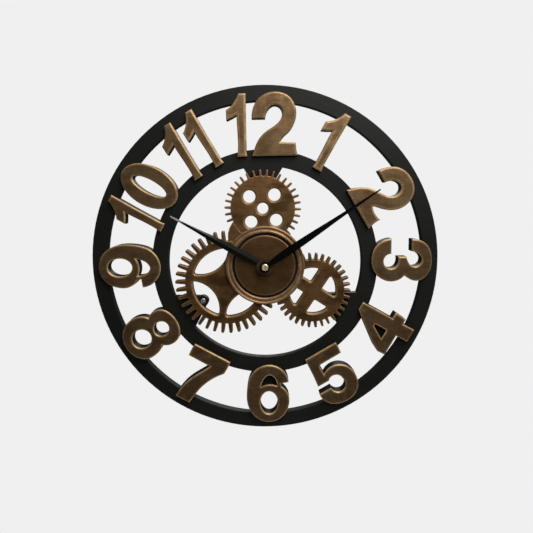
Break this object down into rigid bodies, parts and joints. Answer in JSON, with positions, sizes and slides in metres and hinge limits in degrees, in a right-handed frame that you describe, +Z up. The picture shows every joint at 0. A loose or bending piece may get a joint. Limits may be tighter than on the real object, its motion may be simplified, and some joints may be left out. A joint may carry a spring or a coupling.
{
  "type": "skeleton wall clock",
  "caption": "Openwork wall clock: two black rings joined by thick bronze numerals, fixed decorative gears, hub, two hands and a battery quartz movement behind.",
  "frame": {"origin": "centre of the hanging hole, in the wall plane", "axes": "+Z up, the dial faces -Y, +Y points into the wall; the dial's axis is 191.25 mm below the origin"},
  "size_m": [0.3999, 0.0355, 0.3999],
  "materials": {
    "black_mdf": "satin black paint on MDF",
    "bronze_painted_mdf": "hand-brushed antique bronze paint, black sides",
    "brown_disc": "dark reddish-brown satin",
    "black_aluminium": "black satin lacquer",
    "brass_parts": "pale brass plate",
    "plated_steel": "zinc plated",
    "black_steel": "black phosphate",
    "rubber_washer": "matte",
    "black_plastic": "moulded, fine texture",
    "white_plastic": "moulded",
    "steel_arbor": "turned",
    "wheel_plastic": "moulded",
    "stator_iron": "stamped",
    "magnet": "sintered",
    "copper_wire": "enamelled copper wire",
    "board": "solder mask",
    "battery_jacket": "plain printed sleeve"
  },
  "bodies": {
    "frame": {"outer_ring": "black_mdf", "inner_ring": "black_mdf", "carrier_disc": "black_mdf", "numeral_1": "bronze_painted_mdf", "numeral_2": "bronze_painted_mdf", "numeral_3": "bronze_painted_mdf", "numeral_4": "bronze_painted_mdf", "numeral_5": "bronze_painted_mdf", "numeral_6": "bronze_painted_mdf", "numeral_7": "bronze_painted_mdf", "numeral_8": "bronze_painted_mdf", "numeral_9": "bronze_painted_mdf", "numeral_10_one": "bronze_painted_mdf", "numeral_10_zero": "bronze_painted_mdf", "numeral_11_first": "bronze_painted_mdf", "numeral_11_second": "bronze_painted_mdf", "numeral_12_one": "bronze_painted_mdf", "numeral_12_two": "bronze_painted_mdf", "gear_top": "bronze_painted_mdf", "gear_large": "bronze_painted_mdf", "gear_right": "bronze_painted_mdf", "gear_bridge": "bronze_painted_mdf", "hub_rim": "bronze_painted_mdf", "hub_disc": "brown_disc", "bush_nut": "brass_parts", "bush_washer": "plated_steel", "hanger_plate": "plated_steel", "hanger_screws": "plated_steel", "hub_screws": "plated_steel", "lug_screw": "plated_steel", "contact_positive": "plated_steel", "contact_negative": "plated_steel", "quartz_crystal": "plated_steel", "numeral_screws": "black_steel", "gear_screws": "black_steel", "lug_washer": "rubber_washer", "movement_case": "black_plastic", "movement_back": "black_plastic", "train_bridge": "white_plastic", "coil_bobbin": "white_plastic", "stator": "stator_iron", "coil_winding": "copper_wire", "circuit_board": "board"},
    "minute_hand_body": {"minute_hand": "black_aluminium", "minute_nut": "brass_parts", "minute_arbor": "steel_arbor", "clutch_spring": "plated_steel"},
    "hour_hand_body": {"hour_hand": "black_aluminium", "hour_wheel": "wheel_plastic"},
    "minute_wheel_body": {"minute_wheel": "wheel_plastic", "setting_knob": "black_plastic"},
    "centre_wheel_body": {"centre_wheel": "wheel_plastic"},
    "third_wheel_body": {"third_wheel": "wheel_plastic"},
    "second_wheel_body": {"second_wheel": "wheel_plastic"},
    "intermediate_wheel_body": {"intermediate_wheel": "wheel_plastic"},
    "rotor_body": {"rotor_pinion": "wheel_plastic", "rotor_magnet": "magnet"},
    "battery_body": {"battery": "battery_jacket"}
  },
  "joints": [
    {"name": "minute_hand_turn", "type": "hinge", "parent": "frame", "child": "minute_hand_body", "pos_m": [0, -0.02, -0.19125], "axis": [0, 1, 0], "continuous": true},
    {"name": "hour_hand_turn", "type": "hinge", "parent": "frame", "child": "hour_hand_body", "pos_m": [0, -0.02, -0.19125], "axis": [0, 1, 0], "continuous": true},
    {"name": "minute_wheel_turn", "type": "hinge", "parent": "frame", "child": "minute_wheel_body", "pos_m": [0, -0.012, -0.17925], "axis": [0, 1, 0], "continuous": true},
    {"name": "rotor_turn", "type": "hinge", "parent": "frame", "child": "rotor_body", "pos_m": [0.0142, -0.006, -0.18015], "axis": [0, 1, 0], "continuous": true},
    {"name": "intermediate_wheel_turn", "type": "hinge", "parent": "frame", "child": "intermediate_wheel_body", "pos_m": [0.0112, -0.005, -0.19125], "axis": [0, 1, 0], "continuous": true},
    {"name": "second_wheel_turn", "type": "hinge", "parent": "frame", "child": "second_wheel_body", "pos_m": [0, -0.006, -0.19125], "axis": [0, 1, 0], "continuous": true},
    {"name": "third_wheel_turn", "type": "hinge", "parent": "frame", "child": "third_wheel_body", "pos_m": [-0.01082, -0.007, -0.18835], "axis": [0, 1, 0], "continuous": true},
    {"name": "centre_wheel_turn", "type": "hinge", "parent": "frame", "child": "centre_wheel_body", "pos_m": [0, -0.0093, -0.19125], "axis": [0, 1, 0], "continuous": true},
    {"name": "battery_slide", "type": "slide", "parent": "frame", "child": "battery_body", "axis": [0, 1, 0], "range_m": [0, 0.03]}
  ],
  "couplings": [
    {"joint": "hour_hand_turn", "follows": "minute_hand_turn", "ratio": 0.083333},
    {"joint": "minute_wheel_turn", "follows": "minute_hand_turn", "ratio": -0.33333},
    {"joint": "third_wheel_turn", "follows": "centre_wheel_turn", "ratio": -8},
    {"joint": "second_wheel_turn", "follows": "centre_wheel_turn", "ratio": 60},
    {"joint": "intermediate_wheel_turn", "follows": "centre_wheel_turn", "ratio": -360},
    {"joint": "rotor_turn", "follows": "centre_wheel_turn", "ratio": 1800}
  ]
}
